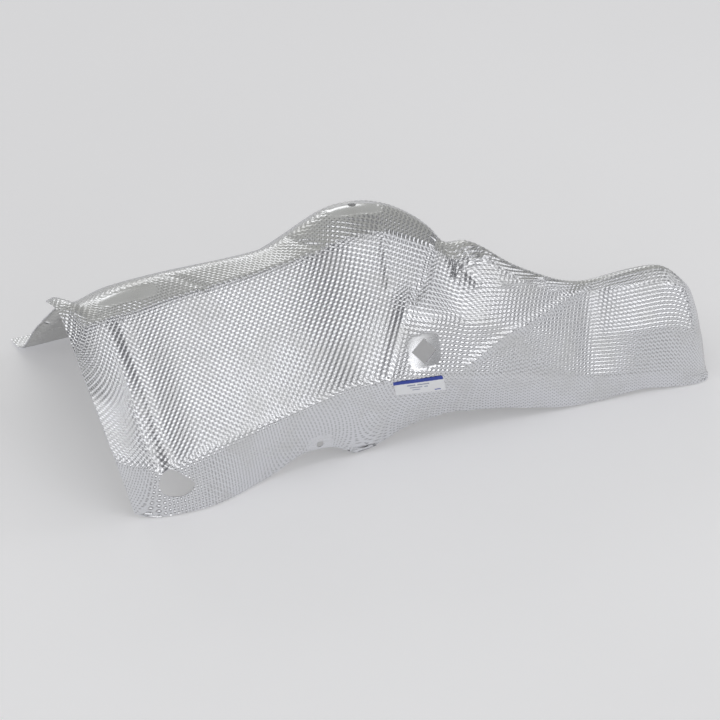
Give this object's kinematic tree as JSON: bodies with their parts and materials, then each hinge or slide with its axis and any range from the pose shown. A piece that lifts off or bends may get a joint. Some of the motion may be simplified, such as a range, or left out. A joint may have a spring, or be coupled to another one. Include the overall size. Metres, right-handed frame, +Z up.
{
  "type": "exhaust heat shield",
  "caption": "Long double-skinned exhaust heat shield: a pressed tunnel of dimple-embossed aluminium with a domed middle, a flared left end and a rounded right end.",
  "frame": {"origin": "centre of the footprint, on the plane that the two long edges stand on", "axes": "+X along the tunnel, from the wide flared end to the narrow rounded end; +Y from the dimpled front face to the rear wall; +Z up"},
  "size_m": [0.7829, 0.4163, 0.2703],
  "materials": {
    "outer_aluminium": "bright rolled, dimple embossed",
    "inner_aluminium": "bright rolled, dimple embossed",
    "label_paper": "printed self-adhesive paper"
  },
  "bodies": {
    "root": {"outer_skin": "outer_aluminium", "inner_skin": "inner_aluminium", "part_label": "label_paper"}
  },
  "joints": []
}
